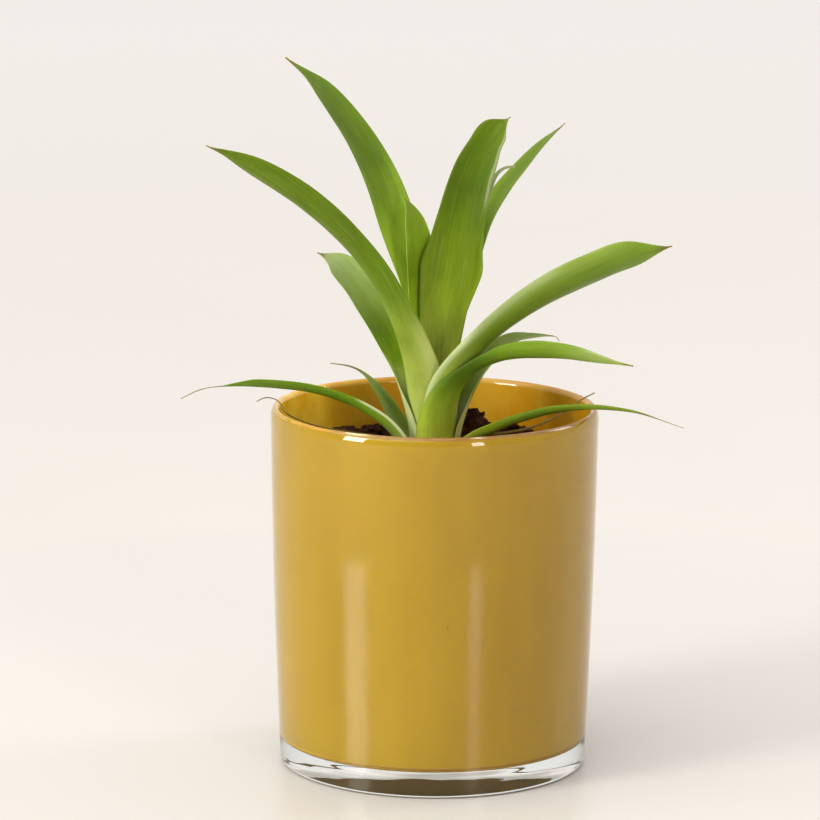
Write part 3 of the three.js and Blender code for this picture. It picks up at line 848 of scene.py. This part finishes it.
# A thin grey young leaf whose dry tip curls over, between the middle leaf and the one behind it.
leaf(
    "leaf_inner_small", faces=36, layer=1, foot=124,
    path=[
        (5.8, 4.1, 150), (7.7, 7, 172), (10, 12.8, 192), (14, 18.5, 210), (18.6, 22.5, 225),
        (22.8, 24.5, 235.5), (25.6, 26, 241.5), (28.8, 26.6, 244.3), (33.5, 26.4, 245.2),
    ],
    half=[1.8, 2, 2.4, 3, 3.2, 3, 2.8, 2.6, 2.2, 1.2, 0.6],
    fold=[60, 50, 45, 40, 40, 20], turn=(0, 0, 0, 10, 35, 75), sheath=(0.2, 0.45), slot_name="pale_leaf",
    finish=leaf_finish(
        "grey young leaf",
        [(0, (0.30, 0.36, 0.12)), (0.8, (0.27, 0.32, 0.16)), (1, (0.26, 0.28, 0.20))],
        haze=0.6, tip_start=0.8, tip_tone=(0.30, 0.32, 0.25),
    ),
)

# The narrow leaf that points up to the right, behind the middle one.
leaf(
    "leaf_back_right", faces=30, layer=3, foot=122,
    path=[
        (6.8, 4.9, 148), (9.2, 8.2, 170), (13.5, 13, 192), (18, 18, 210), (23, 23.5, 224), (30, 29, 235),
        (36.7, 34, 243.2), (45.2, 39, 252.9), (54.5, 43, 261),
    ],
    half=[8.5, 8, 7, 6.5, 6.4, 6.6, 6.8, 6.6, 5.6, 3.6, 0.4],
    fold=[75, 60, 50, 45, 40, 20], turn=(0, 5, 10, 10, 10, 10), sheath=(0.15, 0.4),
    finish=leaf_finish(
        "back right leaf",
        [(0.3, (0.45, 0.58, 0.08)), (0.65, (0.33, 0.47, 0.045)), (0.85, (0.175, 0.27, 0.012)),
         (1, (0.16, 0.23, 0.03))],
        haze=0.15, tip_start=0.95,
    ),
)

# The tallest leaf, up to the left, seen on its inner face with a faint grey bloom and a thin dry tip. Its
# foot is painted very light, as painted light where the leaves in front of it shade it.
leaf(
    "leaf_upper_left", faces=130, layer=2, foot=122,
    path=[
        (-4.9, 5.8, 150), (-6, 10, 175), (-8.5, 14.5, 196), (-14.2, 17.5, 215), (-21.5, 19.5, 237.2),
        (-28.1, 21, 250.8), (-37.5, 23, 265.4), (-49.4, 25, 280), (-61.5, 26, 289.6),
    ],
    half=[
        7.5, 7.8, 8, 8.2, 8.5, 8.7, 8.8, 9.2, 9.6, 9.8, 9.9, 9.7, 9.3, 8.8, 8.2, 7.6, 6.9, 6.1, 4.7,
        2, 0.5,
    ],
    fold=[80, 70, 55, 45, 40, 15], turn=(0, 0, -5, -15, -8, 0), sheath=(0.15, 0.4),
    finish=leaf_finish(
        "tall left leaf",
        [(0.4, (0.60, 0.72, 0.08)), (0.56, (0.25, 0.36, 0.02)), (0.7, (0.10, 0.17, 0.003)),
         (0.85, (0.09, 0.15, 0.004)), (1, (0.13, 0.19, 0.03))],
        haze=0.08,
    ),
)

# The long leaf that arches to the left towards the viewer, seen on its smooth outer face. Its sheath is
# painted lighter along one margin, as painted light where the long right leaf shades it.
leaf(
    "leaf_left_long", faces=232, layer=3, foot=120,
    path=[
        (-5.2, -6.7, 140), (-6.8, -8.2, 155), (-9.2, -10, 169), (-15.5, -14.5, 188.5),
        (-25.2, -20.5, 208.1), (-37.3, -27, 224), (-51.1, -34, 237.5), (-68, -42, 250.5),
        (-80, -46.5, 258.3), (-90, -50, 263),
    ],
    skew=[0, -0.5, -1.8, -0.8, 0, 0, 0, 0, 0, 0, 0],
    half=[8.5, 9.3, 11.5, 10.2, 9.2, 8.5, 8.2, 8.4, 8, 6.2, 0.5],
    fold=[80, 75, 60, 45, 40, 15], turn=(0, 0, -4, 2, 8, 6), sheath=(0.05, 0.3),
    finish=leaf_finish(
        "long left leaf",
        [(0.05, (0.46, 0.50, 0.12)), (0.2, (0.38, 0.43, 0.08)), (0.33, (0.22, 0.29, 0.025)),
         (0.46, (0.11, 0.19, 0.003)), (0.6, (0.09, 0.145, 0.001)), (1, (0.105, 0.165, 0.003))],
        gloss=0.05, edges_and_painted_light=[(1, 0.02, 0.4, 0.1, 0.7, (0.62, 0.66, 0.22))],
    ),
)

# The long leaf that arches to the right towards the viewer, glossier than the others, with painted
# highlights along one margin: green along the blade and whitish where it leaves the others.
leaf(
    "leaf_right_long", faces=-60, layer=4, foot=119,
    path=[
        (4.9, -8.6, 142), (7.1, -10.7, 157), (13, -13.3, 168), (23, -17, 180.2), (35, -21.5, 191.4),
        (49, -26.5, 201.6), (65, -31.5, 210.6), (80, -36.5, 218), (95, -41, 222.8),
    ],
    half=[9.5, 10, 10, 9.5, 8.8, 8.8, 9, 9.3, 9, 8, 0.5],
    fold=[80, 65, 50, 45, 40, 15], turn=(0, 0, 12, -2, -8, -6), sheath=(0.15, 0.4),
    finish=leaf_finish(
        "long right leaf",
        [(0.1, (0.46, 0.52, 0.12)), (0.27, (0.36, 0.45, 0.06)), (0.42, (0.115, 0.20, 0.003)),
         (0.6, (0.115, 0.185, 0.004)), (0.8, (0.125, 0.205, 0.003)), (1, (0.155, 0.24, 0.012))],
        margin=0.3,
        edges_and_painted_light=[
            (-1, 0.3, 0.95, 0.15, 0.7, (0.22, 0.28, 0.05)),
            (-1, 0.3, 0.74, 0.12, 0.35, (0.31, 0.35, 0.16)),
            (-1, 0.16, 0.46, 0.06, 0.3, (0.56, 0.60, 0.34)),
        ],
        roughness=0.32, gloss=0.2,
    ),
)

# The short leaf on the left, with a grey bloom over its inner face and a small hooked tip.
leaf(
    "leaf_left_short", faces=150, layer=4, foot=118,
    path=[
        (-8.6, 5, 142), (-11, 6.4, 156), (-14.7, 8.5, 167), (-19.5, 11.5, 178), (-25.5, 14.5, 190),
        (-32, 17.5, 199), (-39, 20.5, 206), (-48, 23, 209),
    ],
    skew=[-0.5, -1.2, -2, -1.6, -0.2, 0, -0.3, -0.9, -1.6, -2, 0],
    half=[9.5, 10, 11, 10.6, 9.6, 9.5, 9.6, 10.1, 9.2, 6.7, 0.4],
    fold=[75, 65, 55, 50, 45, 20], turn=(0, 0, -15, -30, -35, -35), sheath=(0.2, 0.45),
    finish=leaf_finish(
        "hazy left leaf",
        [(0.2, (0.50, 0.58, 0.12)), (0.42, (0.26, 0.38, 0.015)), (0.6, (0.14, 0.23, 0.003)),
         (0.8, (0.18, 0.27, 0.015)), (1, (0.20, 0.25, 0.05))],
        haze=0.7, haze_from=0.5, margin=0.15,
        edges_and_painted_light=[
            (1, 0.05, 0.47, 1.2, 0.3, (0.46, 0.50, 0.20)),
            (1, 0.05, 0.51, 0.3, 0.25, (0.46, 0.50, 0.24)),
        ],
    ),
)

# The lower leaf to the right, which bends over level and narrows to a long point. Below its upper
# margin its flank is painted dark, as painted shade, and a painted highlight sits near its tip.
leaf(
    "leaf_right_low", faces=-60, layer=5, foot=116,
    path=[
        (5.4, -9.8, 140), (7.2, -12.7, 152), (9.6, -14.7, 160.3), (14, -16.2, 165.6), (18, -16.9, 168.9),
        (22.8, -17.6, 171.5), (28.5, -18.4, 173.8), (40, -20.5, 175.7), (54, -23.5, 175.6),
        (68, -26.5, 173.8), (81, -29, 171.8),
    ],
    skew=[0.4, 1.2, 2.4, 3.1, 0.3, 0, 0, 0, 0, 0, 0],
    half=[
        10.5, 10.7, 10.9, 11, 10.9, 9.4, 7.7, 6.4, 4.8, 3.9, 3.6, 4.3, 4.9, 5.1, 5.1, 4.8, 4.3, 3.5,
        2.3, 1, 0.4,
    ],
    fold=[75, 65, 50, 45, 40, 20], turn=(0, 0, -10, -15, -15, -15), sheath=(0.2, 0.45),
    finish=leaf_finish(
        "lower right leaf",
        [(0.08, (0.41, 0.45, 0.07)), (0.22, (0.37, 0.45, 0.03)), (0.36, (0.17, 0.28, 0.004)),
         (0.46, (0.08, 0.15, 0.001)), (0.56, (0.14, 0.24, 0.004)), (0.75, (0.19, 0.29, 0.02)),
         (0.88, (0.28, 0.36, 0.09)), (1, (0.24, 0.27, 0.08))],
        margin=0.3, tip_start=0.95, gloss=0.1, roughness=0.36,
        edges_and_painted_light=[
            (1, 0.05, 0.34, 0.06, 0.1, (0.40, 0.30, 0.16)),
            (-1, 0.25, 0.58, 0.5, 1.3, (0.025, 0.06, 0)),
            (-1, 0.8, 0.97, 0.12, 0.35, (0.42, 0.46, 0.26)),
        ],
    ),
)

# The small grey leaf behind it, curled over at its dry tip.
leaf(
    "leaf_right_behind", faces=18, layer=6, foot=116,
    path=[
        (10.8, 3.2, 138), (13.2, 4.2, 149), (18.2, 7.8, 159.6), (25.5, 12.8, 168.2), (33.5, 18, 173.2),
        (41.5, 22, 174.2), (47.5, 25, 174.2), (51.3, 27, 173.4), (52.6, 28, 171.6),
    ],
    skew=[0.3, 0.3, 1.5, 2, 1.5, 0.5, 0, 0, 0, 0, 0],
    half=[6, 6.4, 8.6, 9.8, 9, 8, 7.5, 6.4, 5, 2.3, 0.35],
    fold=[50, 50, 50, 45, 40, 20], turn=(0, 5, 15, 20, 20, 20), sheath=(0.2, 0.45),
    finish=leaf_finish(
        "grey right leaf",
        [(0.1, (0.50, 0.46, 0.28)), (0.28, (0.36, 0.38, 0.14)), (0.42, (0.11, 0.15, 0.008)),
         (0.6, (0.12, 0.165, 0.008)), (1, (0.12, 0.17, 0.015))],
        haze=0.3, margin=0.6, margin_tone=(0.34, 0.38, 0.14), tip_start=0.93,
        edges_and_painted_light=[(-1, 0.1, 0.42, 0.25, 0.3, (0.46, 0.42, 0.13))],
    ),
)

# The small dark leaf that bends to the left, with a thread for a tip.
leaf(
    "leaf_left_small", faces=140, layer=5, foot=114,
    path=[
        (-8.9, 6.7, 126), (-13.4, 8.2, 136), (-17.2, 8.8, 143), (-20.2, 9.4, 149), (-25, 11.4, 156.4),
        (-29.2, 14.4, 160.1), (-34.5, 17, 162.3), (-42.5, 20, 163),
    ],
    half=[4.5, 5, 5.8, 6.2, 6, 5, 3.6, 2.1, 1, 0.6, 0.35],
    fold=[60, 60, 55, 50, 40, 20], sheath=(0.15, 0.45),
    finish=leaf_finish(
        "small dark leaf",
        [(0.2, (0.34, 0.40, 0.12)), (0.55, (0.14, 0.21, 0.015)), (1, (0.15, 0.18, 0.03))],
        haze=0.3, tip_start=0.78,
    ),
)

# The low leaf that arches out over the rim to the left, with one thick cream margin near its foot.
leaf(
    "leaf_low_left", faces=206, layer=6, foot=112,
    path=[
        (-10.4, -4.4, 124), (-12.6, -4.8, 132.3), (-19.4, -5.6, 141.2), (-28.8, -7, 148.2),
        (-40.2, -9, 153.6), (-52, -10, 156.8), (-65, -10, 158.2), (-78, -9.5, 158.7),
        (-86.5, -9.2, 158.4), (-92, -9, 157.7), (-96.5, -8.6, 156.3), (-103, -8, 153),
    ],
    half=[
        5.4, 5.6, 6, 6.3, 6.4, 6.2, 5.9, 5.6, 5.4, 5.2, 5.2, 5.2, 5.2, 5.2, 5.1, 4.7, 2.8, 0.9, 0.6,
        0.5, 0.35,
    ],
    fold=[60, 65, 70, 70, 60, 30], sheath=(0.1, 0.3),
    finish=leaf_finish(
        "low left leaf",
        [(0.12, (0.42, 0.48, 0.10)), (0.3, (0.20, 0.34, 0.012)), (0.45, (0.125, 0.24, 0.003)),
         (0.65, (0.11, 0.18, 0.005)), (1, (0.08, 0.13, 0.01))],
        tip_start=0.84, tip_tone=(0.15, 0.14, 0.045), margin=0,
        edges_and_painted_light=[(1, 0.03, 0.42, 0.14, 0.1, (0.74, 0.72, 0.50))],
    ),
)

# The low leaf that arches out over the rim to the right and hangs down in a long thin tip.
leaf(
    "leaf_low_right", faces=-30, layer=7, foot=110,
    path=[
        (10.8, -5.2, 122), (11.4, -5.3, 130.6), (17.4, -5.4, 135.7), (25.7, -6.5, 139.7),
        (32.8, -8, 143.1), (41.4, -11, 146.6), (50, -14, 149.4), (60, -17, 151.3), (71, -20, 152),
        (84, -23, 151), (102, -27, 146),
    ],
    half=[6, 5.6, 5.2, 5, 4.6, 4.2, 3.6, 2.9, 1.9, 0.9, 0.35],
    fold=[50, 70, 85, 80, 65, 30], sheath=(0.1, 0.3),
    finish=leaf_finish(
        "low right leaf",
        [(0.15, (0.38, 0.38, 0.04)), (0.32, (0.20, 0.25, 0.003)), (0.45, (0.10, 0.16, 0.001)),
         (0.6, (0.13, 0.20, 0.004)), (0.75, (0.17, 0.22, 0.015)), (1, (0.16, 0.19, 0.04))],
        tip_start=0.82, margin=0, tip_tone=(0.18, 0.18, 0.07),
    ),
)

# Two old leaves, dried to brown threads: one over the rim on the left and one inside it on the right.
dry = leaf_finish(
    "dried leaf",
    [(0, (0.20, 0.12, 0.03)), (0.4, (0.13, 0.075, 0.015)), (1, (0.17, 0.115, 0.05))],
    tip_tone=(0.22, 0.17, 0.10), roughness=0.6, margin=0, gloss=0.03,
)


def dried_leaf(name, faces, foot, path, half):
    """Grows one dried thread, in the outermost layer."""
    leaf(
        name, faces=faces, layer=7, foot=foot, path=path, half=half, fold=[50, 50, 40, 30, 20, 20],
        sheath=(0.1, 0.3), finish=dry, slot_name="dry_leaf", strips=10, thick=1.7,
    )


dried_leaf(
    "leaf_dry_left", faces=222, foot=110,
    path=[
        (-9.1, -7.9, 122), (-10.5, -9.1, 131), (-18.5, -11.4, 137), (-32, -13, 140), (-46, -15, 143),
        (-54, -16.5, 146), (-58, -17, 148), (-60.8, -17, 150.2), (-61.8, -17, 152.8), (-64.5, -17.5, 155),
        (-68, -18, 155.5), (-71.5, -18.5, 154),
    ],
    half=[3.2, 2.4, 1.8, 1.2, 1, 0.8, 0.6, 0.5, 0.45, 0.4, 0.35],
)
dried_leaf(
    "leaf_dry_right", faces=35, foot=112,
    path=[
        (9.6, 7, 124), (10.4, 7.4, 131), (15, 7, 134.5), (30, 5.6, 136.8), (40, 5.4, 139),
        (48, 5.5, 142.2), (56, 5.7, 147), (61.5, 6, 151), (67, 6, 154),
    ],
    half=[3, 2.4, 1.8, 1.2, 1, 0.8, 0.7, 0.6, 0.5, 0.4, 0.35],
)
